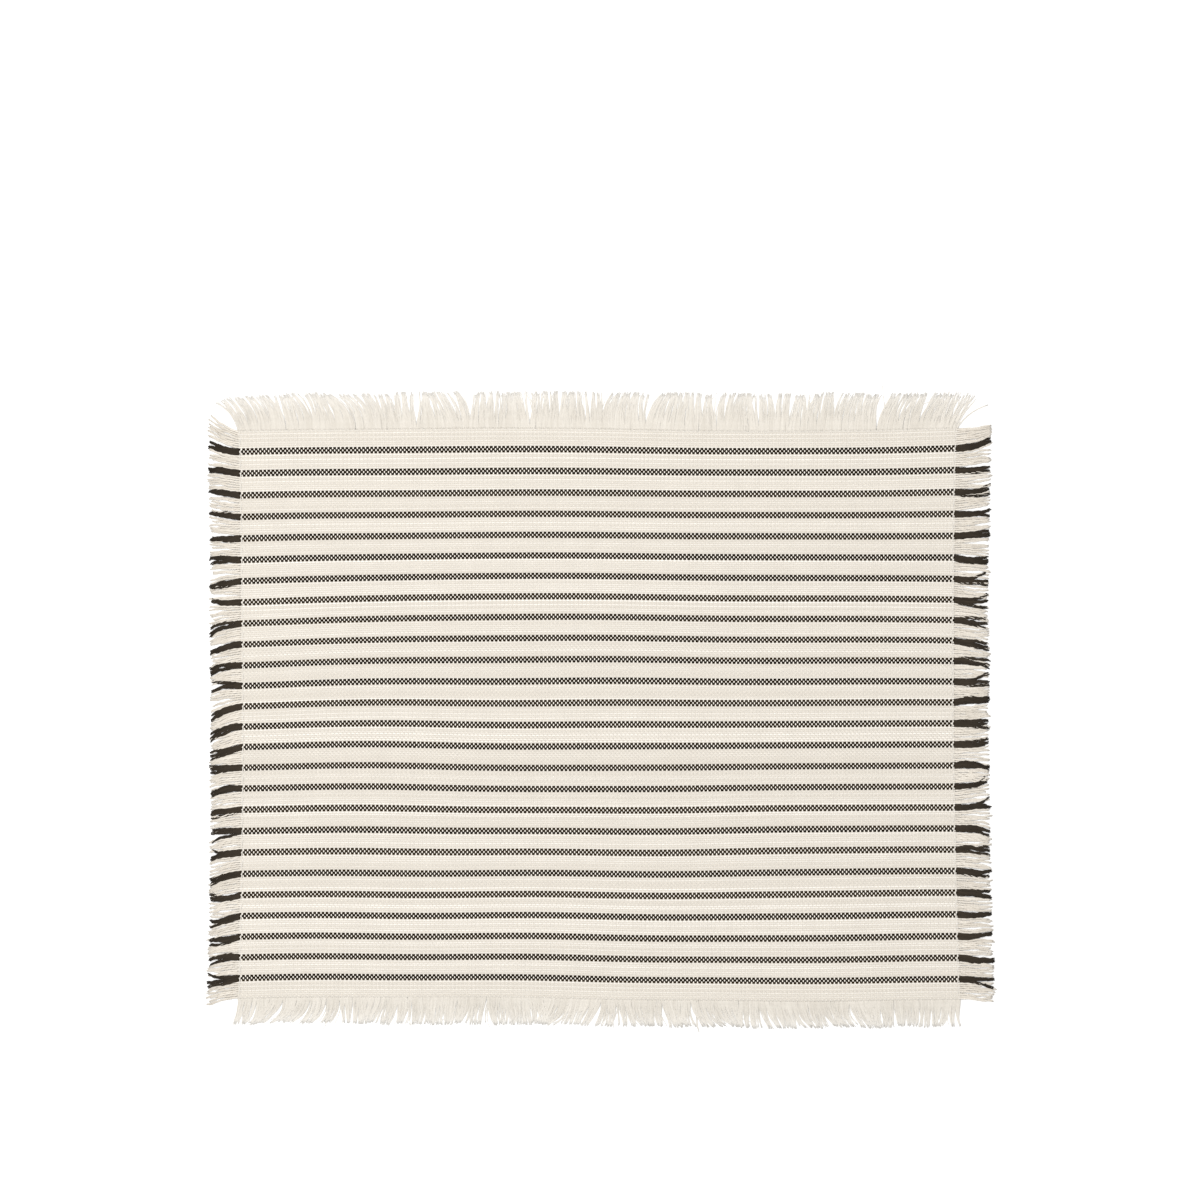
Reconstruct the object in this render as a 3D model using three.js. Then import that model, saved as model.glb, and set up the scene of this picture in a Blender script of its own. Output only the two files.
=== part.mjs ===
// Fringed flat-woven bath mat, lying flat. Millimetres, +Z up, X along the long side.
// The cloth is built as it is woven: a stack of bands across the mat, each band a group of
// neighbouring lengthwise yarns that runs on past both ends as its own share of the side fringe.
import * as THREE from 'three';

// Driving dimensions
const bodyLength = 573.6;      // woven ground along X, between the two side lock stitches
const bodyWidth = 454.8;       // woven ground along Y, between the top and bottom lock stitches
const clothThickness = 2.6;    // two yarns deep
const fringeLeft = 25.6;       // loose yarn length past the left lock stitch
const fringeRight = 28.0;
const fringeTop = 29.0;        // finer, frayed crosswise ends
const fringeBottom = 23.2;
const fringeFineThickness = 1.8;
const stripeCount = 26;        // black stripes
const stripeYarns = 3;         // black yarns in a stripe
const groundYarns = 7;         // cream yarns between two stripes
const borderYarns = 8;         // cream yarns outside the first and last stripe
const gap = 0.3;               // clearance between neighbouring bands
const stitchWidth = 1.5;
const stitchHeight = 0.6;
const topClumps = 46;          // frayed locks in the top and bottom fringe

const yarnRows = stripeCount * stripeYarns + (stripeCount - 1) * groundYarns + 2 * borderYarns;
const yarnPitch = bodyWidth / yarnRows;
const halfL = bodyLength / 2;
const halfW = bodyWidth / 2;

const cream = new THREE.Color('#efe7da');
const black = new THREE.Color('#2b2622');
const thread = new THREE.Color('#f3ecdf');

// Repeatable scatter in 0..1 for a whole number
const scatter = (n) => {
  const s = Math.sin(n * 12.9898 + 4.1) * 43758.5453;
  return s - Math.floor(s);
};

// In-plane waviness of a hand-woven cloth: the yarns drift a few millimetres up and down,
// most of all where the left selvedge sags.
const drift = (x, y) => {
  const u = x / halfL;
  const v = y / halfW;
  const swell = (amp, fu, fv, phase) => amp * Math.sin(Math.PI * (fu * u - fv * v) + phase);
  const sag = 4.97 * Math.exp(-(((u + 1.1) / 0.25) ** 2) - ((v - 0.3) / 0.45) ** 2);
  return -sag - swell(0.73, -0.4, 1.1, -1.31) - swell(0.50, -1.2, 1.2, 0.47)
    - swell(0.47, 0.1, 0.3, -0.78) - swell(0.47, 1.5, 0.6, 0.07) - swell(0.34, 1.0, 2.0, 0.49);
};

// How far the side fringe leans at its tips: combed up near the top corners, drooping below
const lean = (side, v) => (side < 0
  ? -5.0 + 11.5 * Math.exp((v - 1) / 0.22)
  : 1.2 * Math.sin(4.6 * v + 0.6) - 0.6 + 5.6 * Math.exp((v - 1) / 0.16));

// Height of the line between two yarns, counted in rows from the top edge, at any x
const lineY = (row, x) => {
  const y = halfW - row * yarnPitch;
  const inside = Math.max(-halfL, Math.min(halfL, x));
  const side = Math.sign(x);
  const reach = side < 0 ? fringeLeft : fringeRight;
  const out = Math.max(0, Math.abs(x) - halfL) / reach;
  return y + drift(inside, y) + lean(side, y / halfW) * out ** 1.5;
};

const addMesh = (group, name, points, z, height, color, roughness) => {
  const shape = new THREE.Shape(points.map(([x, y]) => new THREE.Vector2(x, y)));
  const geometry = new THREE.ExtrudeGeometry(shape, { depth: height, bevelEnabled: false, steps: 1 });
  geometry.translate(0, 0, z);
  const material = new THREE.MeshStandardMaterial({ color, roughness, metalness: 0 });
  const mesh = new THREE.Mesh(geometry, material);
  mesh.name = name;
  group.add(mesh);
  return mesh;
};

const group = new THREE.Group();
group.name = 'bath_mat';

// Stations along X where a band's edge is drawn, closer together over the sagging left end
const stations = [-1, -0.9, -0.78, -0.62, -0.4, -0.15, 0.12, 0.38, 0.62, 0.84, 1].map((u) => u * halfL);

// One band: its two long edges, and at both ends a comb of loose strands split by narrow slits
const bandOutline = (rowA, rowB, strands) => {
  const tip = (side, k) => {
    const reach = side < 0 ? fringeLeft : fringeRight;
    const n = Math.round(rowA) * 7 + k + (side < 0 ? 0 : 500);
    return side * (halfL + reach * (0.86 + 0.14 * scatter(n)));
  };
  const edge = (row, offset, tipL, tipR) => {
    const xs = [tipL, -halfL - fringeLeft * 0.5, ...stations, halfL + fringeRight * 0.5, tipR];
    return xs.map((x) => [x, lineY(row, x) + offset]);
  };
  const comb = (side) => {
    const points = [];
    for (let k = 1; k < strands; k++) {
      const row = rowA + ((rowB - rowA) * k) / strands;
      const xa = tip(side, k - 1);
      const xb = tip(side, k);
      const xr = side * (halfL + 3 + 6 * scatter(row * 3 + side));
      points.push([xa, lineY(row, xa) + 0.35], [xr, lineY(row, xr)], [xb, lineY(row, xb) - 0.35]);
    }
    return points;
  };
  const upper = edge(rowA, -gap / 2, tip(-1, 0), tip(1, 0));
  const lower = edge(rowB, gap / 2, tip(-1, strands - 1), tip(1, strands - 1)).reverse();
  return [...upper, ...comb(1), ...lower, ...comb(-1).reverse()].reverse();
};

// Bands from the top edge down: cream border, then stripe and ground in turn, cream border
let row = 0;
for (let k = 0; k <= stripeCount; k++) {
  const border = k === 0 || k === stripeCount;
  const yarns = border ? borderYarns : groundYarns;
  const label = String(k + 1).padStart(2, '0');
  addMesh(group, `cream_band_${label}`, bandOutline(row, row + yarns, 3), 0, clothThickness, cream, 0.92);
  row += yarns;
  if (k < stripeCount) {
    addMesh(group, `black_stripe_${label}`, bandOutline(row, row + stripeYarns, 2), 0,
      clothThickness, black, 0.9);
    row += stripeYarns;
  }
}

// Top and bottom fringe: one spine of fringe roots with frayed locks, each thinning to its tip
const fineFringe = (name, side, reach) => {
  const base = (x) => lineY(side > 0 ? 0 : yarnRows, x) + side * gap / 2;
  const spine = 1.4;
  const x0 = -halfL + 1.5;
  const pitch = (bodyLength - 3) / topClumps;
  const outer = [];
  const inner = [];
  for (let k = 0; k < topClumps; k++) {
    const x = x0 + pitch * k;
    const n = k + (side > 0 ? 900 : 1300);
    const long = k === 5 || k === topClumps - 8;
    const length = reach * (long ? 1 : 0.72 + 0.26 * scatter(n));
    const fan = 7 * ((k + 0.5) / topClumps * 2 - 1) ** 5;
    const sway = 2.6 * (scatter(n + 77) - 0.5) + fan;
    const y = base(x + pitch / 2);
    const root = y + side * (spine + 1 + 2 * scatter(n + 31));
    outer.push([x + 0.12, root]);
    outer.push([x + pitch * 0.22 + sway, y + side * length * 0.94]);
    outer.push([x + pitch * 0.62 + sway, y + side * length]);
    outer.push([x + pitch - 0.12, root]);
  }
  for (const x of stations) {
    const clamped = Math.max(x0, Math.min(-x0, x));
    inner.push([clamped, lineY(side > 0 ? 0 : yarnRows, clamped) + side * gap / 2]);
  }
  const points = side > 0 ? [...inner, ...outer.reverse()] : [...inner.reverse(), ...outer];
  addMesh(group, name, points, 0, fringeFineThickness, cream, 0.95);
};
fineFringe('fringe_top', 1, fringeTop);
fineFringe('fringe_bottom', -1, fringeBottom);

// Lock stitches: a raised scalloped thread over the cloth just inside each edge
const stitch = (name, count, centre, across) => {
  const near = [];
  const far = [];
  for (let k = 0; k <= count; k++) {
    const t = k / count;
    const [x, y] = centre(t);
    const w = stitchWidth / 2 * (k % 2 ? 1 : 0.65);
    near.push([x - across[0] * w, y - across[1] * w]);
    far.push([x + across[0] * w, y + across[1] * w]);
  }
  addMesh(group, name, [...near, ...far.reverse()], clothThickness + gap, stitchHeight, thread, 0.9);
};
for (const side of [-1, 1]) {
  const x = side * (halfL - 1.2);
  const top = lineY(0, x) - 1;
  const bottom = lineY(yarnRows, x) + 1;
  stitch(side < 0 ? 'lock_stitch_left' : 'lock_stitch_right', 40, (t) => [x, bottom + (top - bottom) * t], [-1, 0]);
  const edgeRow = side > 0 ? 0.8 : yarnRows - 0.8;
  const run = halfL - 5;
  stitch(side > 0 ? 'lock_stitch_top' : 'lock_stitch_bottom', 40, (t) => {
    const xs = -run + 2 * run * t;
    return [xs, lineY(edgeRow, xs)];
  }, [0, 1]);
}

// The object's box sits centred over the origin and rests on z = 0
const box = new THREE.Box3().setFromObject(group);
const mid = box.getCenter(new THREE.Vector3());
for (const mesh of group.children) mesh.geometry.translate(-mid.x, -mid.y, -box.min.z);

export default group;
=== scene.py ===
import math

import bpy
import numpy as np
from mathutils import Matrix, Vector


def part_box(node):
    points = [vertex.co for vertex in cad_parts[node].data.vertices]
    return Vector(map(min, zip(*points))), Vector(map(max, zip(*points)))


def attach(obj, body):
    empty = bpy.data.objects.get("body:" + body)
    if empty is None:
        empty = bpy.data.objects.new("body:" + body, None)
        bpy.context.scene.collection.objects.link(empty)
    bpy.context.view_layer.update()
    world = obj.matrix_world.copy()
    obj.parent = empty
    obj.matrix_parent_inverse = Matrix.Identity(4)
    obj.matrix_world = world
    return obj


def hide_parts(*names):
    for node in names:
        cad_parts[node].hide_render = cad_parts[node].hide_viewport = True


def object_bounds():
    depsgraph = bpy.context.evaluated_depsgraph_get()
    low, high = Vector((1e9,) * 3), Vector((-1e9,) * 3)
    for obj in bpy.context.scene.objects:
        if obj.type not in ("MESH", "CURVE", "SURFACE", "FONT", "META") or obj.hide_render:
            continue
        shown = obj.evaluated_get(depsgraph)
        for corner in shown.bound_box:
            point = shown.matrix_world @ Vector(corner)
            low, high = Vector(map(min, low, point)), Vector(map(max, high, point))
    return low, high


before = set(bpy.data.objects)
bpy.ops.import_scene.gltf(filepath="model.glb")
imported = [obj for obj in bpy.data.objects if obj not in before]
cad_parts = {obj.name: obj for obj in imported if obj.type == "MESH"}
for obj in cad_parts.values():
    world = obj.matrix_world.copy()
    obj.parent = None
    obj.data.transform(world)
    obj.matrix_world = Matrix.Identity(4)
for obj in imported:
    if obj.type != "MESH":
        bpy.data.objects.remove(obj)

cad_low, cad_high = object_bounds()

# ---------------------------------------------------------------------------------------------
# Studio. The mat lies flat on a plain white floor and is looked at from straight above with a
# long lens. A big soft lamp hangs over it, a little towards the top left corner, and a pale
# room fills the rest in, so the cloth throws hardly any shadow.
# ---------------------------------------------------------------------------------------------
scene = bpy.context.scene
scene.view_settings.view_transform = "Standard"
scene.view_settings.look = "None"

floor_size = 14.0
floor_mesh = bpy.data.meshes.new("floor")
floor_mesh.from_pydata(
    [(-floor_size, -floor_size, 0), (floor_size, -floor_size, 0),
     (floor_size, floor_size, 0), (-floor_size, floor_size, 0)], [], [(0, 1, 2, 3)])
floor = bpy.data.objects.new("floor", floor_mesh)
scene.collection.objects.link(floor)
floor_paint = bpy.data.materials.new("floor_paint")
floor_paint.use_nodes = True
floor_shader = floor_paint.node_tree.nodes["Principled BSDF"]
floor_shader.inputs["Base Color"].default_value = (0.93, 0.93, 0.93, 1)
floor_shader.inputs["Roughness"].default_value = 0.9
floor_mesh.materials.append(floor_paint)

world = bpy.data.worlds.new("pale_room")
world.use_nodes = True
room_light = world.node_tree.nodes["Background"]
room_light.inputs["Color"].default_value = (1.0, 1.0, 1.0, 1)
room_light.inputs["Strength"].default_value = 0.62
scene.world = world


def softbox(name, place, size, watts, colour):
    """A square soft lamp at place, turned to shine on the middle of the mat."""
    lamp = bpy.data.lights.new(name, "AREA")
    lamp.shape, lamp.size = "SQUARE", size
    lamp.energy, lamp.color = watts, colour
    holder = bpy.data.objects.new(name, lamp)
    holder.location = place
    towards = -holder.location
    holder.rotation_mode = "QUATERNION"
    holder.rotation_quaternion = towards.to_track_quat("-Z", "Y")
    scene.collection.objects.link(holder)


softbox("overhead_softbox", (-0.45, 0.75, 2.7), 1.6, 60, (1.0, 0.985, 0.965))
softbox("fill_softbox", (-1.0, -0.9, 2.3), 1.4, 14, (0.97, 0.985, 1.0))

lens, sensor_width = 120.0, 36.0
picture_width = 0.960          # metres across the picture at the top of the cloth
picture_centre_y = 0.0883      # the mat lies a little low in the picture
cloth_top = 0.0025
camera_data = bpy.data.cameras.new("camera")
camera_data.lens, camera_data.sensor_width = lens, sensor_width
camera = bpy.data.objects.new("camera", camera_data)
camera_height = picture_width * lens / sensor_width + cloth_top
camera.location = (0.0, picture_centre_y, camera_height)
scene.collection.objects.link(camera)
scene.camera = camera

# ---------------------------------------------------------------------------------------------
# Ground. The felted fibre that fills the cloth between its yarns: a thin layer in the middle
# of the weave, cream with painted shade, darker than the yarns, and black where the stripes run.
# It is the cloth's flat cut, and closes the pinholes where four yarns meet.
# ---------------------------------------------------------------------------------------------
rows, columns = 269, 348       # lengthwise and crosswise yarns
stripe_first, stripe_repeat, stripe_yarns = 8, 10, 3
stripe_last = 261              # the first row past the last stripe
cloth_width = 0.4548
left_stitch, right_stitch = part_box("lock_stitch_left"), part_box("lock_stitch_right")
stitch_inset = 0.0012          # from the stitch line out to the end of the weave
cloth_left = (left_stitch[0].x + left_stitch[1].x) / 2 - stitch_inset
cloth_right = (right_stitch[0].x + right_stitch[1].x) / 2 + stitch_inset
cloth_middle_x = (cloth_left + cloth_right) / 2
cloth_middle_y = (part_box("fringe_top")[0].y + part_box("fringe_bottom")[1].y) / 2
cloth_length = cloth_right - cloth_left
row_pitch, column_pitch = cloth_width / rows, cloth_length / columns
mid_height = 0.00132           # of the cloth's middle over the floor


class Thread:
    """A node tree and one socket in it. Sums on it add Math nodes to the tree."""

    def __init__(self, tree, socket=None):
        self.tree, self.socket = tree, socket

    def node(self, kind, settings=None, values=None, out=0):
        """Adds a node, sets it up, fills or links its sockets, and returns one output."""
        made = self.tree.nodes.new(kind)
        for key, value in (settings or {}).items():
            if key == "stops":
                ramp = made.color_ramp.elements
                while len(ramp) < len(value):
                    ramp.new(0.5)
                for element, (at, colour) in zip(ramp, value):
                    element.position, element.color = at, colour
            else:
                setattr(made, key, value)
        for key, value in (values or {}).items():
            if isinstance(value, Thread):
                self.tree.links.new(value.socket, made.inputs[key])
            else:
                made.inputs[key].default_value = value
        return Thread(self.tree, made.outputs[out])

    def out(self, name):
        return Thread(self.tree, self.socket.node.outputs[name])

    def math(self, operation, *others):
        values = {0: self, **{i + 1: other for i, other in enumerate(others)}}
        return self.node("ShaderNodeMath", {"operation": operation}, values)

    def __add__(self, other):
        return self.math("ADD", other)

    def __sub__(self, other):
        return self.math("SUBTRACT", other)

    def __rsub__(self, other):
        return self.node("ShaderNodeMath", {"operation": "SUBTRACT"}, {0: other, 1: self})

    def __mul__(self, other):
        return self.math("MULTIPLY", other)

    def __truediv__(self, other):
        return self.math("DIVIDE", other)

    def __neg__(self):
        return self.math("MULTIPLY", -1.0)

    def __pow__(self, other):
        return self.math("POWER", other)

    def __mod__(self, other):
        return self.math("FLOORED_MODULO", other)

    def __gt__(self, other):
        return self.math("GREATER_THAN", other)

    def __lt__(self, other):
        return self.math("LESS_THAN", other)

    __radd__, __rmul__ = __add__, __mul__

    def vector(self, x, y, z=0.0):
        return self.node("ShaderNodeCombineXYZ", {}, {0: x, 1: y, 2: z})

    def chance(self, number, seed, low=0.0, high=1.0):
        """A fixed random value for each whole number."""
        number = number if isinstance(number, Thread) else int(number)
        return self.node("FunctionNodeRandomValue", {"data_type": "FLOAT"},
                         {2: low, 3: high, 7: number, 8: seed}, out=1)

    def drift(self, x, y, z=0.0, scale=1.0, detail=1.0):
        """Smooth noise from about -1 to 1."""
        noise = self.node("ShaderNodeTexNoise", {}, {
            "Vector": self.vector(x, y, z), "Scale": scale, "Detail": detail})
        return (noise - 0.5) * 2.4


def new_tree(name, sizes):
    """A geometry tree with one named input for each size, and those inputs as threads."""
    tree = bpy.data.node_groups.new(name, "GeometryNodeTree")
    kinds = {float: "NodeSocketFloat", int: "NodeSocketInt"}
    for label, value in sizes.items():
        socket = tree.interface.new_socket(label, in_out="INPUT", socket_type=kinds[type(value)])
        socket.default_value = value
    tree.interface.new_socket("Material", in_out="INPUT", socket_type="NodeSocketMaterial")
    tree.interface.new_socket("Geometry", in_out="OUTPUT", socket_type="NodeSocketGeometry")
    loom = Thread(tree)
    given = loom.node("NodeGroupInput")
    return loom, {label: given.out(label) for label in [*sizes, "Material"]}


def close_tree(loom, geometry, given):
    """Ends a tree in Realize Instances and Set Material."""
    real = loom.node("GeometryNodeRealizeInstances", {}, {0: geometry})
    painted = loom.node("GeometryNodeSetMaterial", {}, {
        "Geometry": real, "Material": given["Material"]})
    result = loom.tree.nodes.new("NodeGroupOutput")
    loom.tree.links.new(painted.socket, result.inputs[0])
    return loom.tree


def run_tree(name, tree, material, **sizes):
    """Runs a tree and returns its result as a plain mesh object, free of modifiers.

    sizes gives values to the tree's inputs by name, with _ for each space."""
    made = bpy.data.objects.new(name, bpy.data.meshes.new(name))
    scene.collection.objects.link(made)
    modifier = made.modifiers.new("tree", "NODES")
    modifier.node_group = tree
    wanted = {label.replace("_", " "): value for label, value in sizes.items()}
    wanted["Material"] = material
    for item in tree.interface.items_tree:
        if item.in_out == "INPUT" and item.name in wanted:
            modifier[item.identifier] = wanted[item.name]
    graph = bpy.context.evaluated_depsgraph_get()
    mesh = bpy.data.meshes.new_from_object(made.evaluated_get(graph), depsgraph=graph)
    made.modifiers.remove(modifier)
    made.data = mesh
    mesh.name = name
    return made


def lift(loom, x, y):
    """The cloth doesn't lie dead flat: it stands a little proud of the floor in places."""
    rise = loom.drift(x, y, 3.0, 7.0, 0.0) + 0.6
    return rise.math("MAXIMUM", 0.0) * 0.00035


# The gentle waves of the stripes: height in millimetres, waves along and across the cloth, and
# phase. The left edge sags most of all, a third of the way down from the top corner.
swells = [(0.81, 0.2, -1.4, -1.71), (0.62, 1.2, -1.0, 2.89), (0.43, 0.4, -2.8, 2.19),
          (0.42, 1.4, 0.2, 0.27), (0.35, 1.0, 1.8, 0.26), (0.19, 2.0, -2.2, -2.50),
          (0.19, 3.2, 1.2, -2.50), (0.14, 2.2, -0.2, -1.38), (0.12, 2.2, 1.6, 1.84),
          (0.13, 3.6, 0.6, -0.57), (0.10, 2.8, -1.4, 3.12), (0.10, 0.4, 2.6, 0.03)]
sag_depth, sag_half_length, sag_half_height = 0.00497, 0.25, 0.45


def cloth_place(loom, row, column):
    """Where a lengthwise row and a crosswise column cross, as x and y in metres.

    The stripes wave by a few millimetres, the two ends of the cloth bow inwards, and each yarn
    also lies slightly off its even place. u and v run from -1 to 1 over the cloth."""
    x = (column + 0.5 - columns / 2) * column_pitch
    y = (rows / 2 - 0.5 - row) * row_pitch
    u, v = x * (2 / cloth_length), y * (2 / cloth_width)

    def swell(height, along, across, phase):
        return (u * (math.pi * along) - v * (math.pi * across) + phase).math("SINE") * height

    off_x, off_y = (u + 1.1) / sag_half_length, (v - 0.3) / sag_half_height
    sag = (-(off_x ** 2.0) - off_y ** 2.0).math("EXPONENT") * sag_depth
    waves = u * 0.00019 - v * 0.00009 + 0.00035
    for height, along, across, phase in swells:
        waves = waves + swell(height * 0.001, along, across, phase)
    left_bow = v * 0.00013 - v * v * 0.00264 + 0.00098
    right_bow = v * v * 0.0038 - v * 0.00132 - 0.00224
    bow = (left_bow * (1.0 - u) + right_bow * (u + 1.0)) * 0.5
    row_slip = loom.chance(row, 11, -0.00010, 0.00010)
    row_slip = row_slip + loom.drift(x, row * 0.9, 1.0, 9.0) * 0.00010
    column_slip = loom.chance(column, 12, -0.00010, 0.00010)
    column_slip = column_slip + loom.drift(column * 0.7, y, 2.0, 9.0) * 0.00012
    sway = loom.drift(x * 0.6, y, 5.0, 5.0) * 0.0004
    return (x + column_slip + sway + bow + cloth_middle_x,
            y - sag - waves + row_slip + cloth_middle_y)


def stripe_mask(row):
    """1 on the rows of black yarn and 0 on the cream ones."""
    turn = (row - stripe_first) % float(stripe_repeat)
    return (turn < stripe_yarns - 0.5) * (row > stripe_first - 0.5) * (row < stripe_last - 0.5)


def cotton(name, deep, pale, turns, yarns, fuzz=0.3, shine=0.2, relief=0.5,
           painted_flank_shade=0.0, tip_lightening=0.0, mottle=1.0):
    """Matte twisted cotton, from its deep to its pale colour. turns counts the ply twists along
    a yarn's row of the UV map, and yarns the rows. Each yarn has its own tone and is mottled by
    its fibres. Its flanks can carry painted shade, darker than its crest, and a loose yarn can
    carry painted light towards its tip, paler there as if its fibres part and let light through."""
    material = bpy.data.materials.new(name)
    material.use_nodes = True
    dye = Thread(material.node_tree)
    shader = material.node_tree.nodes["Principled BSDF"]
    where = dye.node("ShaderNodeTexCoord", out="Object")
    tone = dye.node("ShaderNodeAttribute", {"attribute_name": "tone"}, out="Fac")
    rows_map = dye.node("ShaderNodeUVMap", {"uv_map": "OFBake"})
    along = dye.node("ShaderNodeSeparateXYZ", {}, {0: rows_map})
    ply = (along * (turns * 2 * math.pi) + along.out("Y") * (yarns * 2 * math.pi)).math("SINE")
    fibre = dye.node("ShaderNodeTexNoise", {}, {"Vector": where, "Scale": 2600.0, "Detail": 3.0})
    patch = dye.node("ShaderNodeTexNoise", {}, {"Vector": where, "Scale": 60.0, "Detail": 4.0})
    grain = along.out("Y") * (yarns * 4.0) + along * (turns * 1.5)
    streak = dye.node("ShaderNodeTexNoise", {}, {
        "Vector": dye.vector(along * (turns * 1.0), grain), "Scale": 1.0, "Detail": 2.0})
    # Painted shade: each yarn is coloured darker towards its two flanks, where the shade between
    # neighbouring yarns falls.
    round_it = (along.out("Y") * (yarns * 2 * math.pi)).math("COSINE").math("ABSOLUTE")
    flank_shade = round_it ** 2.0 * painted_flank_shade
    mottled = (fibre * 0.15 + streak * 0.5 + patch * 0.4 + ply * 0.05 - 0.25) * mottle
    depth = (tone * 0.45 + mottled - flank_shade).math("MAXIMUM", 0.0)
    colour = dye.node("ShaderNodeMix", {"data_type": "RGBA"},
                      {0: depth.math("MINIMUM", 1.0), 6: (*deep, 1), 7: (*pale, 1)}, out=2)
    # Painted light: the colour turns paler towards a loose yarn's tip, standing in for the light
    # that comes through its parting fibres.
    if tip_lightening:
        colour = dye.node("ShaderNodeMix", {"data_type": "RGBA"},
                          {0: along ** 3.0 * tip_lightening, 6: colour, 7: (*painted_tip_light, 1)}, out=2)
    dye.tree.links.new(colour.socket, shader.inputs["Base Color"])
    rough = fibre * 0.12 + 0.84
    dye.tree.links.new(rough.socket, shader.inputs["Roughness"])
    bump = dye.node("ShaderNodeBump", {}, {
        "Strength": relief, "Distance": 0.0003, "Height": ply * 0.4 + streak + fibre * 0.2})
    dye.tree.links.new(bump.socket, shader.inputs["Normal"])
    shader.inputs["Sheen Weight"].default_value = fuzz
    shader.inputs["Sheen Roughness"].default_value = 0.6
    shader.inputs["Specular IOR Level"].default_value = shine
    return material


# The pale colour painted on towards loose tips, as painted light.
painted_tip_light = (0.79, 0.775, 0.745)
# The cream felt is painted darker than the yarns: painted shade for the gaps between them, whose
# faces point up unshadowed.
shaded_felt_deep, shaded_felt_pale = (0.535, 0.494, 0.430), (0.663, 0.626, 0.562)
black_deep, black_pale = (0.009, 0.007, 0.005), (0.038, 0.029, 0.020)


def stored(loom, geometry, name, value, domain="POINT", kind="FLOAT"):
    """The geometry with a named attribute on it."""
    return loom.node("GeometryNodeStoreNamedAttribute", {"data_type": kind, "domain": domain}, {
        "Geometry": geometry, "Name": name, "Value": value})


loom, given = new_tree("Ground sheet", {"Steps along": 59, "Steps across": 47})
grid = loom.node("GeometryNodeMeshGrid", {}, {
    "Size X": 1.0, "Size Y": 1.0,
    "Vertices X": given["Steps along"], "Vertices Y": given["Steps across"]})
spot = loom.node("ShaderNodeSeparateXYZ", {}, {0: loom.node("GeometryNodeInputPosition")})
row_here = (0.5 - spot.out("Y")) * float(rows) - 0.5
x, y = cloth_place(loom, row_here, (spot + 0.5) * float(columns) - 0.5)
sheet = stored(loom, grid, "OFBake", grid.out("UV Map"), "CORNER", "FLOAT2")
sheet = stored(loom, sheet, "row", row_here)
sheet = loom.node("GeometryNodeSetPosition", {}, {
    "Geometry": sheet, "Position": loom.vector(x, y, lift(loom, x, y) + mid_height)})
close_tree(loom, sheet, given)

felt = bpy.data.materials.new("ground_felt")
felt.use_nodes = True
dye = Thread(felt.node_tree)
shader = felt.node_tree.nodes["Principled BSDF"]
fluff = dye.node("ShaderNodeTexNoise", {}, {
    "Vector": dye.node("ShaderNodeTexCoord", out="Object"), "Scale": 1800.0, "Detail": 3.0})
felt_row = dye.node("ShaderNodeAttribute", {"attribute_name": "row"}, out="Fac")
felt_cream = dye.node("ShaderNodeMix", {"data_type": "RGBA"}, {
    0: fluff, 6: (*shaded_felt_deep, 1), 7: (*shaded_felt_pale, 1)}, out=2)
felt_colour = dye.node("ShaderNodeMix", {"data_type": "RGBA"}, {
    0: stripe_mask(felt_row + 0.5), 6: felt_cream, 7: (*black_deep, 1)}, out=2)
dye.tree.links.new(felt_colour.socket, shader.inputs["Base Color"])
dye.tree.links.new((fluff * 0.1 + 0.85).socket, shader.inputs["Roughness"])
felt_bump = dye.node("ShaderNodeBump", {}, {"Strength": 0.4, "Distance": 0.0002, "Height": fluff})
dye.tree.links.new(felt_bump.socket, shader.inputs["Normal"])

cloth_ground = run_tree("cloth_ground", loom.tree, felt)
solid = cloth_ground.modifiers.new("felt_depth", "SOLIDIFY")
solid.thickness, solid.offset = 0.0003, 0.0
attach(cloth_ground, "root")

# ---------------------------------------------------------------------------------------------
# Woven yarns. The lengthwise yarns, cream and black, and the finer cream crosswise yarns pass
# over and under each other one by one: a plain weave. Each yarn is one round-edged tube, a
# little thicker and thinner along its length, that dips under every second yarn it meets.
# ---------------------------------------------------------------------------------------------
crimp = 0.00042                # how far a yarn rises and dips from the middle
ply_pitch = 0.0026             # of the twist along a yarn
lengthwise_half_width, lengthwise_half_depth = 0.00080, 0.00064
crosswise_half_width, crosswise_half_depth = 0.00054, 0.00052
black_half_width = 0.00097


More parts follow.
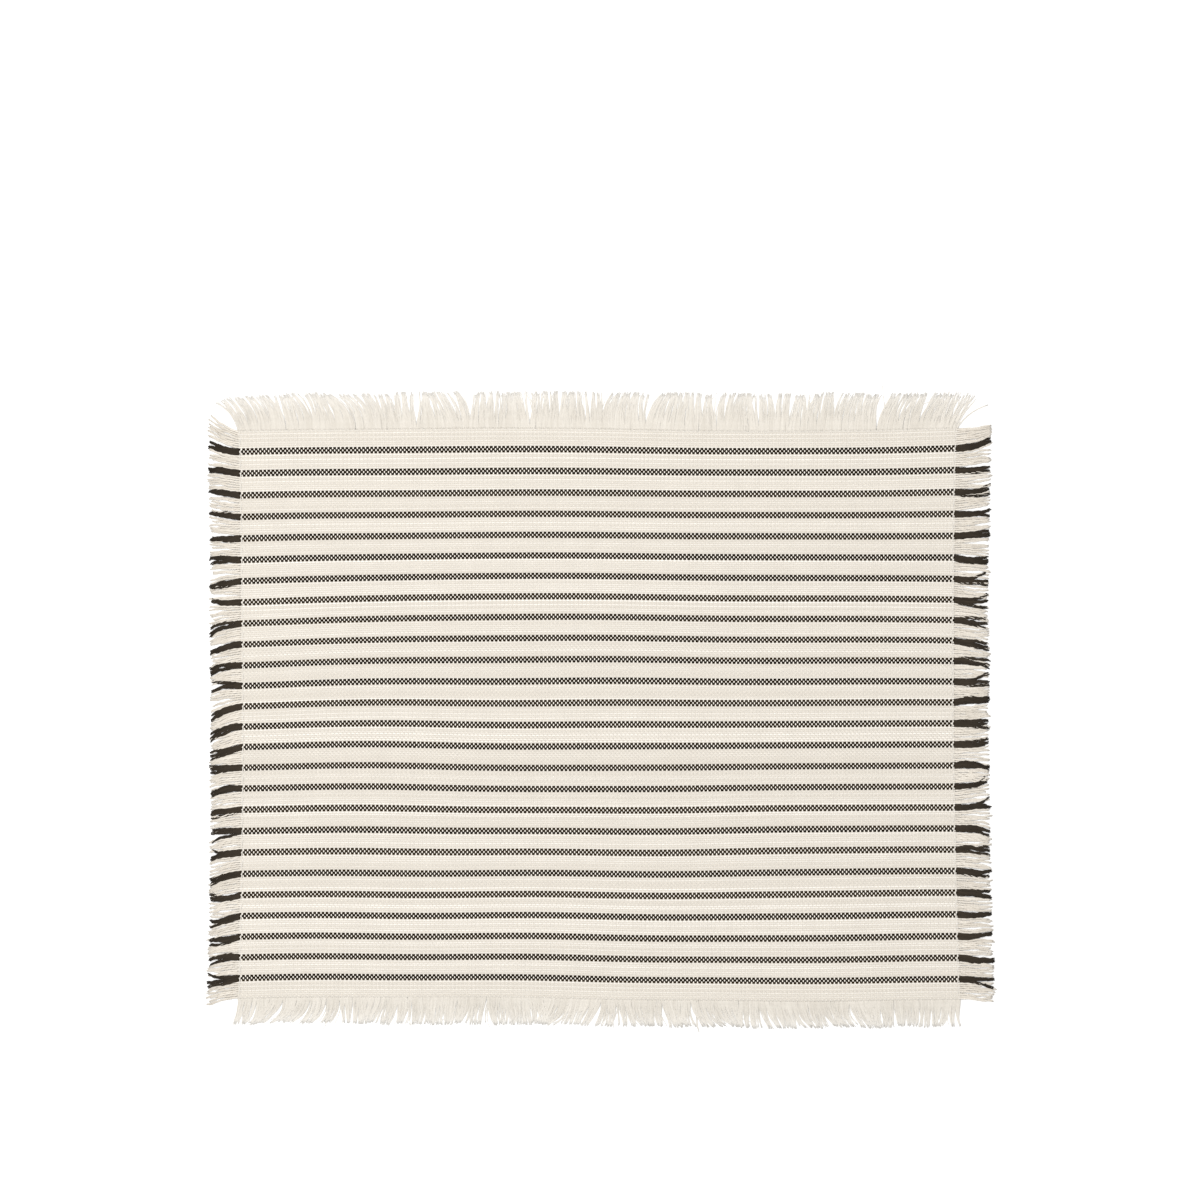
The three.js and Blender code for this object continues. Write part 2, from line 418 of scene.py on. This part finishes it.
def yarn_tree(name, lengthwise, half_width, half_depth):
    """Count yarns in one direction, starting at First, with a ring at each crossing.

    Lengthwise yarns are the black or the cream ones of them, as Black is 1 or 0."""
    rings = (columns if lengthwise else rows) + 2
    loom, given = new_tree(name, {
        "First": 0, "Count": 10, "Black": 0.0, "Half width": half_width, "Half depth": half_depth,
        "Crimp": crimp, "Middle": mid_height})
    index = loom.node("GeometryNodeInputIndex")
    nth = (index / float(rings)).math("FLOOR")
    ring = index - nth * float(rings)
    yarn = nth + given["First"]
    row, column = (yarn, ring - 1.0) if lengthwise else (ring - 1.0, yarn)
    x, y = cloth_place(loom, row, column)
    held = (ring > 0.5) * (ring < rings - 1.5)
    side = ((row + column) * math.pi).math("COSINE") * held * (1.0 if lengthwise else -1.0)
    z = side * given["Crimp"] + given["Middle"] + lift(loom, x, y)
    along = ring / float(rings - 1)
    thick = loom.drift(along * 40.0, yarn * 3.7, 0.0, 1.0, 2.0) * 0.07
    slub = (loom.drift(along * 9.0, yarn * 5.3, 7.0, 1.0) - 0.78).math("MAXIMUM", 0.0) * 0.5
    count = given["Count"] * float(rings)
    points = loom.node("GeometryNodePoints", {}, {"Count": count, "Position": loom.vector(x, y, z)})
    squeezed = 0.0 if lengthwise else stripe_mask(row) * 0.12    # by the thicker black yarns
    swell = (thick + slub + 1.0 - squeezed) * (held * 0.45 + 0.55)
    points = stored(loom, points, "swell", swell)
    points = stored(loom, points, "along", along)
    points = stored(loom, points, "nth", nth)
    if lengthwise:             # the first and last few rows show as separate lines
        shade = loom.chance(yarn, 21, -0.4, 1.4)
        outer = (row < stripe_first - 0.5) + (row > stripe_last - 0.5)
        shade = shade * (1.0 - outer * 0.6) + outer * ((row % 2.0) * 0.8 - 0.35)
    else:                      # painted shade where they dip, painted light where they bulge over black yarns
        shade = loom.chance(yarn, 22, -0.15, -0.05) + side * 0.8
        # Painted light: on the black rows the crosswise yarns are painted lighter still, against
        # the shade of the thicker black yarns beside them.
        shade = shade + stripe_mask(row) * (side * 0.5 + 0.9)
    points = stored(loom, points, "tone", shade + loom.drift(along * 6.0, yarn * 2.3, 9.0) * 0.15)
    if lengthwise:
        other = (stripe_mask(row) - given["Black"]).math("ABSOLUTE") > 0.5
        points = loom.node("GeometryNodeDeleteGeometry", {"domain": "POINT"}, {
            "Geometry": points, "Selection": other})
    return finish_tubes(loom, given, points, 4)


def finish_tubes(loom, given, points, sides):
    """Joins points that share their nth into curves and gives them a flattened round section."""
    def known(name):
        return loom.node("GeometryNodeInputNamedAttribute", {"data_type": "FLOAT"}, {"Name": name})

    curves = loom.node("GeometryNodePointsToCurves", {}, {
        "Points": points, "Curve Group ID": known("nth")})
    curves = loom.node("GeometryNodeSetCurveNormal", {"mode": "Z_UP"}, {"Curve": curves})
    section = loom.node("GeometryNodeCurvePrimitiveCircle", {"mode": "RADIUS"}, {
        "Resolution": sides, "Radius": 1.0})
    section = stored(loom, section, "around", loom.node("GeometryNodeInputIndex") / float(sides))
    section = loom.node("GeometryNodeTransform", {}, {
        "Geometry": section, "Scale": loom.vector(given["Half width"], given["Half depth"], 1.0)})
    tubes = loom.node("GeometryNodeCurveToMesh", {}, {
        "Curve": curves, "Profile Curve": section, "Scale": known("swell"), "Fill Caps": True})
    if sides == 4:             # crease both sides, so that the upper half shades as one soft ridge
        on_side = ((known("around") * 2.0) % 1.0) < 0.1
        tubes = stored(loom, tubes, "sharp_edge", on_side, "EDGE", "BOOLEAN")
    smooth = loom.node("GeometryNodeSetShadeSmooth", {}, {"Geometry": tubes})
    return close_tree(loom, smooth, given)


def lay_rows(piece):
    """A UV map with each yarn in its own row, u along it and v round it."""
    mesh = piece.data
    read = {}
    for name in ("along", "around", "nth"):
        read[name] = np.zeros(len(mesh.vertices), np.float32)
        mesh.attributes[name].data.foreach_get("value", read[name])
    corner = np.zeros(len(mesh.loops), np.int32)
    mesh.loops.foreach_get("vertex_index", corner)
    starts, sizes = (np.zeros(len(mesh.polygons), np.int32) for _ in range(2))
    mesh.polygons.foreach_get("loop_start", starts)
    mesh.polygons.foreach_get("loop_total", sizes)
    face = np.repeat(np.arange(len(sizes)), sizes)
    turn = read["around"][corner].copy()
    widest = np.maximum.reduceat(turn, starts)[face]
    narrow = np.minimum.reduceat(turn, starts)[face]
    turn[(widest - narrow > 0.5) & (turn < 0.25)] += 1.0       # the face that closes the ring
    _, row = np.unique(read["nth"], return_inverse=True)
    count = row.max() + 1
    flat = np.empty((len(corner), 2), np.float32)
    flat[:, 0] = 0.002 + 0.996 * read["along"][corner]
    flat[:, 1] = (row[corner] + 0.04 + 0.92 * turn) / count
    layer = mesh.uv_layers.new(name="OFBake")
    layer.data.foreach_set("uv", flat.ravel())
    for name in ("along", "around", "nth", "swell"):
        if name in mesh.attributes:
            mesh.attributes.remove(mesh.attributes[name])


lengthwise_tree = yarn_tree("Lengthwise yarns", True, lengthwise_half_width, lengthwise_half_depth)
crosswise_tree = yarn_tree("Crosswise yarns", False, crosswise_half_width, crosswise_half_depth)

turns_along, turns_across = round(cloth_length / ply_pitch), round(cloth_width / ply_pitch)
cream_yarn = cotton("cream_yarn", (0.590, 0.550, 0.490), (0.895, 0.867, 0.818),
                    turns_along, yarns=64, painted_flank_shade=1.0)
black_yarn = cotton("black_yarn", (0.006, 0.0034, 0.0013), (0.027, 0.0170, 0.0075),
                    turns_along, yarns=39, fuzz=0.0, shine=0.08)
cross_yarn = cotton("cream_cross_yarn", (0.560, 0.521, 0.463), (0.885, 0.838, 0.757),
                    turns_across, yarns=87, mottle=0.5)

for k, (first, last) in enumerate([(0, 90), (90, 180), (180, rows)]):
    piece = run_tree(f"cream_yarns_{k + 1}", lengthwise_tree, cream_yarn,
                     First=first, Count=last - first, Black=0.0)
    lay_rows(piece)
    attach(piece, "root")
    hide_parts(*[f"cream_band_{n:02d}" for n in range(1 + k * 9, 10 + k * 9)])
for k, (first, last) in enumerate([(0, 136), (136, rows)]):
    piece = run_tree(f"black_yarns_{k + 1}", lengthwise_tree, black_yarn,
                     First=first, Count=last - first, Black=1.0, Half_width=black_half_width)
    lay_rows(piece)
    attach(piece, "root")
    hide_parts(*[f"black_stripe_{n:02d}" for n in range(1 + k * 13, 14 + k * 13)])
for k in range(4):
    piece = run_tree(f"cross_yarns_{k + 1}", crosswise_tree, cross_yarn, First=k * 87, Count=87)
    lay_rows(piece)
    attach(piece, "root")

# ---------------------------------------------------------------------------------------------
# Side fringes. Past each end of the weave the lengthwise yarns hang loose, cut to one length.
# Each opens into its three plies; the black ones stand out as a tassel at every stripe. They
# fan up at the top corners and droop below, and neighbours bunch together.
# ---------------------------------------------------------------------------------------------
plies, ply_rings = 3, 15
tassel_rows = [0, *range(stripe_first + 1, stripe_last, stripe_repeat), rows - 1]
# How far each tassel's tip stands below its root, in millimetres, from the top corner down
left_lean = [-11.5, -6.8, -3.0, -2.6, -2.1, -1.2, -0.6, 4.0, -0.8, 5.8, 4.5, 4.8, 0.9, 9.1,
             7.4, 7.0, 2.2, 4.4, 3.1, 5.0, 3.4, 7.1, 3.8, 6.5, 6.8, 1.4, 2.6, 5.6]
right_lean = [-3.4, -6.8, -1.4, -3.0, -2.9, -1.3, 2.9, 1.4, 4.1, 3.0, 3.8, 1.4, -0.5, -2.1,
              -0.6, -1.0, 2.2, -3.5, -2.5, 2.2, 0.1, 2.9, 1.7, 1.3, -2.2, 2.2, -0.2, 2.4]

lean_range = 40                # millimetres from one end of a lean curve to the other


def lean_curve(loom, at, spots, tips):
    """How far the tips stand aside, drawn as a curve through one value at each spot."""
    first, last = spots[0], spots[-1]
    curve = loom.node("ShaderNodeFloatCurve", {}, {"Value": (at - first) / float(last - first)})
    line = curve.socket.node.mapping.curves[0]
    for spot, tip in list(zip(spots, tips))[1:-1]:
        line.points.new((spot - first) / (last - first), 0.5 + tip / lean_range)
    line.points[0].location = (0.0, 0.5 + tips[0] / lean_range)
    line.points[-1].location = (1.0, 0.5 + tips[-1] / lean_range)
    for point in line.points:
        point.handle_type = "VECTOR"
    curve.socket.node.mapping.update()
    return (curve - 0.5) * (lean_range / 1000)


def side_fringe_tree(side, tips):
    """The loose ends of all rows on one side, black or cream, as three plies each. s runs from 0
    at a root to 1 at a tip, and Straying, Bow and Hook are how far a tip, a yarn's middle and its
    last part may stand off, in metres."""
    is_right = float(side > 0)
    loom, given = new_tree("Side fringe", {
        "Reach": 0.0256, "Black": 0.0, "Half width": 0.00053, "Half depth": 0.00034,
        "Ply spread": 0.00048, "Middle": mid_height, "Bunching": 0.0010, "Straying": 0.0016,
        "Bow": 0.0004, "Hook": 0.0012, "Twists": 1.7})
    index = loom.node("GeometryNodeInputIndex")
    nth = (index / float(ply_rings)).math("FLOOR")
    s = (index - nth * float(ply_rings)) / float(ply_rings - 1)
    row = (nth / float(plies)).math("FLOOR")
    ply = nth - row * float(plies)
    x, y = cloth_place(loom, row, is_right * (columns - 2.2) + 0.6)
    key = row + is_right * 1000.0
    # Ten yarns repeat: a tassel of three black ones, then bunches of 2, 3 and 2 cream ones
    turn = (row - stripe_first) % float(stripe_repeat)
    bunch = (turn > 2.5) + (turn > 4.5) + (turn > 7.5)
    bunch_key = ((row - turn) * 4.0 + bunch) + is_right * 7000.0
    off_centre = (turn - (bunch * 2.5 + 1.0)) * row_pitch
    pull = loom.chance(bunch_key, 36, -0.15, 0.25) - given["Black"] * 0.08
    uneven = loom.chance(bunch_key, 31, 0.92, 0.97) - loom.chance(key, 37) ** 6.0 * 0.10
    uneven = uneven + loom.chance(key, 60) ** 8.0 * 0.05
    reach = given["Reach"] * uneven - loom.chance(key * 3.0 + ply, 32, 0.0, 0.0018)
    reach = reach - is_right * 0.0010 - 0.0004
    lean = -lean_curve(loom, row - (turn - 1.0) * (bunch < 0.5), tassel_rows, tips)
    lean = lean + loom.chance(bunch_key, 38, -1.0, 1.0) * given["Bunching"] * (bunch > 0.5)
    stray = loom.chance(key, 39, -1.0, 1.0)
    stray = stray * stray * stray * given["Straying"]
    wobble = loom.drift(s * 2.4, key * 0.37, 3.0, 1.0) * s * 0.0024
    hook = loom.chance(key, 62, -1.0, 1.0)
    wobble = wobble + hook * hook * hook * s ** 4.0 * given["Hook"]
    arch = (s * math.pi).math("SINE")
    wobble = wobble + loom.chance(bunch_key, 61, -1.0, 1.0) * arch * given["Bow"]
    twist = (s * given["Twists"] + loom.chance(key, 33)) * (2 * math.pi)
    angle = ply * (2 * math.pi / plies) + twist
    loose = loom.drift(s * 3.0, nth * 1.3, 4.0) * 0.3 + 1.0
    spread = given["Ply spread"] * (s * 0.35 + 0.85) * loose
    low = loom.chance(key, 34, 0.00088, 0.00125) + given["Black"] * 0.00015
    high = given["Middle"] + 0.0003
    z = high + (low - high) * (s * 3.0).math("MINIMUM", 1.0) + angle.math("SINE") * spread * 0.5
    across = y + (lean + off_centre * pull + stray) * s ** 1.5 + wobble
    place = loom.vector(
        x + (reach + column_pitch * 1.9) * s * float(side),
        across + angle.math("COSINE") * spread, z)
    points = loom.node("GeometryNodePoints", {}, {
        "Count": rows * plies * ply_rings, "Position": place})
    swell = arch * 0.12 + 1.06 - s ** 5.0 * 0.4 + loom.drift(s * 6.0, nth * 2.1, 5.0) * 0.12
    points = stored(loom, points, "swell", swell)
    points = stored(loom, points, "along", s)
    points = stored(loom, points, "nth", nth)
    # Each yarn and ply has its own tone; on top of it, painted light makes each ply lighter towards
    # its root, against the shade between the plies there.
    tone = loom.chance(key, 21) * 0.6 + loom.chance(nth, 35) * 0.8 + (1.0 - s) * 0.9 - 0.2
    points = stored(loom, points, "tone", tone)
    points = loom.node("GeometryNodeDeleteGeometry", {"domain": "POINT"}, {
        "Geometry": points,
        "Selection": (stripe_mask(row) - given["Black"]).math("ABSOLUTE") > 0.5})
    return finish_tubes(loom, given, points, 4)


cream_rows, black_rows, end_turns = 191, 78, 12
extra_right = 0.0019           # the right ends reach a little further past the weave
cream_end = cotton("cream_yarn_end", (0.515, 0.468, 0.400), (0.768, 0.719, 0.646),
                   end_turns, cream_rows * plies, painted_flank_shade=1.05, tip_lightening=0.1)
black_end = cotton("black_yarn_end", black_deep, black_pale,
                   end_turns, black_rows * plies, fuzz=0.03, shine=0.12)
# Black plies are thicker, and stray and hook more than the cream ones
for word, side, reach, tips in (("left", -1, cloth_left - cad_low.x, left_lean),
                                ("right", 1, cad_high.x - cloth_right + extra_right, right_lean)):
    tree = side_fringe_tree(side, tips)
    for colour, black, material in (("cream", 0.0, cream_end), ("black", 1.0, black_end)):
        piece = run_tree(f"side_fringe_{word}_{colour}", tree, material, Reach=reach, Black=black,
                         Half_width=0.00044 + 0.00024 * black, Ply_spread=0.00037 + 0.00031 * black,
                         Straying=0.0016 + 0.0018 * black, Bow=0.0006 + 0.0009 * black,
                         Hook=0.0012 + 0.0026 * black)
        lay_rows(piece)
        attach(piece, "root")

# ---------------------------------------------------------------------------------------------
# Top and bottom fringes. The finer crosswise yarns end in soft frayed hair: each yarn opens
# into a few thin wavy strands, which gather in uneven locks and spread outwards at the corners.
# ---------------------------------------------------------------------------------------------
hairs, hair_rings = 5, 8
# How far the locks' tips lean to the right, in millimetres, from the left corner to the right
top_lean = [-12, -11, -7, -14, -6, -1, -8, 0, 0, 1, 4, 5, 9, 3, 1, 1, 5, 8, 10, 9, 2]
bottom_lean = [-4, -12, -16, 2, -6, -2, -4, 1, 4, -11, -6, 5, 4, 11, 3, 7, 7, 8, 4, 0, -2]


def fine_fringe_tree(tips):
    """Five hairs for each crosswise yarn, on the top (Side 1) or bottom (Side -1) edge. s runs
    from 0 at a root to 1 at a tip, and turn is a hair's angle from straight out, in radians."""
    loom, given = new_tree("Fine fringe", {
        "Side": 1.0, "Reach": 0.029, "Shortest": 0.86, "Half width": 0.00029, "Half depth": 0.00019,
        "Middle": mid_height, "Gathering": 0.14, "Fan left": -0.6, "Fan right": 0.9,
        "Lock size": 7.0})
    index = loom.node("GeometryNodeInputIndex")
    nth = (index / float(hair_rings)).math("FLOOR")
    s = (index - nth * float(hair_rings)) / float(hair_rings - 1)
    column = (nth / float(hairs)).math("FLOOR")
    is_bottom = given["Side"] < 0.0
    x, y = cloth_place(loom, is_bottom * (rows - 1.6) + 0.3, column)
    key = nth + is_bottom * 5000.0
    # Locks: neighbouring hairs draw together towards the middle of their lock
    slip = loom.drift(column * 0.09, is_bottom * 40.0, 1.0) * 3.0
    spot = (column + slip + loom.chance(key, 40, -0.5, 0.5)) / given["Lock size"]
    lock = spot.math("FLOOR")
    lock_key = lock + is_bottom * 900.0
    off_centre = (spot - lock - 0.5) * given["Lock size"] * column_pitch
    pull = loom.chance(lock_key, 48, -0.15, 0.34)
    lock_column = (lock + 0.5) * given["Lock size"] - slip
    spots = [k * (columns - 1) / (len(tips) - 1) for k in range(len(tips))]
    lean = lean_curve(loom, lock_column, spots, tips) / given["Reach"]
    lean = lean + loom.chance(lock_key, 49, -1.0, 1.0) * given["Gathering"]
    bow = loom.chance(lock_key, 50, -0.0022, 0.0022) * (s * math.pi).math("SINE") * s
    fan = ((column / -5.0).math("EXPONENT") * given["Fan left"]
           + ((column - (columns - 1.0)) / 6.0).math("EXPONENT") * given["Fan right"])
    fan = fan * loom.chance(key, 55, 0.5, 1.25)
    astray = (loom.chance(key, 51) > 0.985) * loom.chance(key, 52, -0.45, 0.45)
    strand = column + is_bottom * 5000.0
    apart = loom.chance(strand, 56, -0.08, 0.08) * s
    turn = lean * s + (fan + astray) * (s * 0.5 + 0.5) + apart
    fray = loom.chance(key, 42) ** 1.5
    missing = (1.0 - given["Shortest"]) * (fray * 0.7 + loom.chance(lock_key, 53, 0.0, 0.45))
    share = astray.math("ABSOLUTE") * 0.3 + lean * lean * 0.3 + 1.0 - missing
    length = (given["Reach"] + row_pitch * 1.6) * share
    curl = (s * loom.chance(key, 43, 0.8, 1.8) + loom.chance(key, 44)) * (2 * math.pi)
    high = given["Middle"] + 0.0003
    low = loom.chance(key, 45, 0.00032, 0.0010) * (1.0 - s ** 4.0 * 0.5)
    z = high + (low - high) * (s * 2.0).math("MINIMUM", 1.0)
    root = (nth - column * float(hairs) - 2.0) * (column_pitch / hairs)
    root = root + loom.chance(key, 46, -0.0002, 0.0002)
    place = loom.vector(
        x + root - off_centre * pull * s ** 2.2 + bow + curl.math("SINE") * s * 0.0004
        + turn.math("SINE") * length * s,
        y + given["Side"] * turn.math("COSINE") * length * s, z)
    points = loom.node("GeometryNodePoints", {}, {
        "Count": columns * hairs * hair_rings, "Position": place})
    points = stored(loom, points, "swell", 1.15 - s * 0.12 - s ** 5.0 * 0.3)
    points = stored(loom, points, "along", s)
    points = stored(loom, points, "nth", nth)
    tone = loom.chance(key, 47) * 0.35 + loom.chance(strand, 57) * 0.5
    points = stored(loom, points, "tone", tone + loom.chance(lock_key, 54) * 0.25 - 0.05)
    return finish_tubes(loom, given, points, 4)


hair_turns = 6
frayed = cotton("cream_frayed_end", (0.52, 0.482, 0.422), (0.725, 0.688, 0.628),
                hair_turns, columns * hairs, relief=0.15, tip_lightening=0.5)
top_reach = (cad_high.y - cloth_middle_y - cloth_width / 2) * 1.02
bottom_reach = (cloth_middle_y - cloth_width / 2 - cad_low.y) * 0.91
for word, side, reach, tips, fans in (
        ("top", 1.0, top_reach, top_lean, (-0.37, 0.75)),
        ("bottom", -1.0, bottom_reach, bottom_lean, (-0.05, 0.0))):
    piece = run_tree(f"{word}_fringe", fine_fringe_tree(tips), frayed, Side=side, Reach=reach,
                     Fan_left=fans[0], Fan_right=fans[1])
    lay_rows(piece)
    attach(piece, "root")
    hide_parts(f"fringe_{word}")

# ---------------------------------------------------------------------------------------------
# Twined edges. A pair of cream yarns is twisted round the outermost yarns along all four sides
# to lock the weave: each in turn shows on top as a short slanted stitch, one over every stripe.
# ---------------------------------------------------------------------------------------------
def twined_tree(name, upright, rings, half_turn):
    """Two yarns twisted round each other along the row or column Line; half_turn counts the
    crossings from one yarn on top to the other on top."""
    loom, given = new_tree(name, {
        "Line": 0.3, "Half width": 0.00055, "Half depth": 0.00038, "Rise": 0.00080,
        "Sway": 0.00040, "Middle": mid_height + 0.00012})
    index = loom.node("GeometryNodeInputIndex")
    nth = (index / float(rings)).math("FLOOR")
    along = (index - nth * float(rings)) / float(rings - 1)
    step = along * float(rows if upright else columns) - 0.5
    row, column = (step, given["Line"]) if upright else (given["Line"], step)
    x, y = cloth_place(loom, row, column)
    angle = (step - 7.0) * (math.pi / half_turn) + nth * math.pi
    shift = angle.math("COSINE") * given["Sway"]
    z = given["Middle"] + angle.math("SINE") * given["Rise"]
    place = loom.vector(x + shift, y, z) if upright else loom.vector(x, y + shift, z)
    points = loom.node("GeometryNodePoints", {}, {"Count": 2 * rings, "Position": place})
    points = stored(loom, points, "swell", loom.drift(along * 60.0, nth, 6.0) * 0.08 + 1.0)
    points = stored(loom, points, "along", along)
    points = stored(loom, points, "nth", nth)
    points = stored(loom, points, "tone", loom.chance(nth, 51, 0.2, 0.5))
    return finish_tubes(loom, given, points, 6)


stitch_yarn = cotton("stitch_yarn", (0.60, 0.563, 0.506), (0.734, 0.706, 0.655),
                     turns_across, yarns=2)
side_twine = twined_tree("Side twining", True, 2 * rows, 5.0)
end_twine = twined_tree("End twining", False, 2 * columns, 3.0)
for word, tree, line in (("left", side_twine, 0.3), ("right", side_twine, columns - 1.5),
                         ("top", end_twine, -0.3), ("bottom", end_twine, rows - 0.7)):
    small = word in ("top", "bottom")
    piece = run_tree(f"twined_edge_{word}", tree, stitch_yarn, Line=line,
                     Half_width=0.00028 if small else 0.00041, Rise=0.00060 if small else 0.00082)
    lay_rows(piece)
    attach(piece, "root")
    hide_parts(f"lock_stitch_{word}")
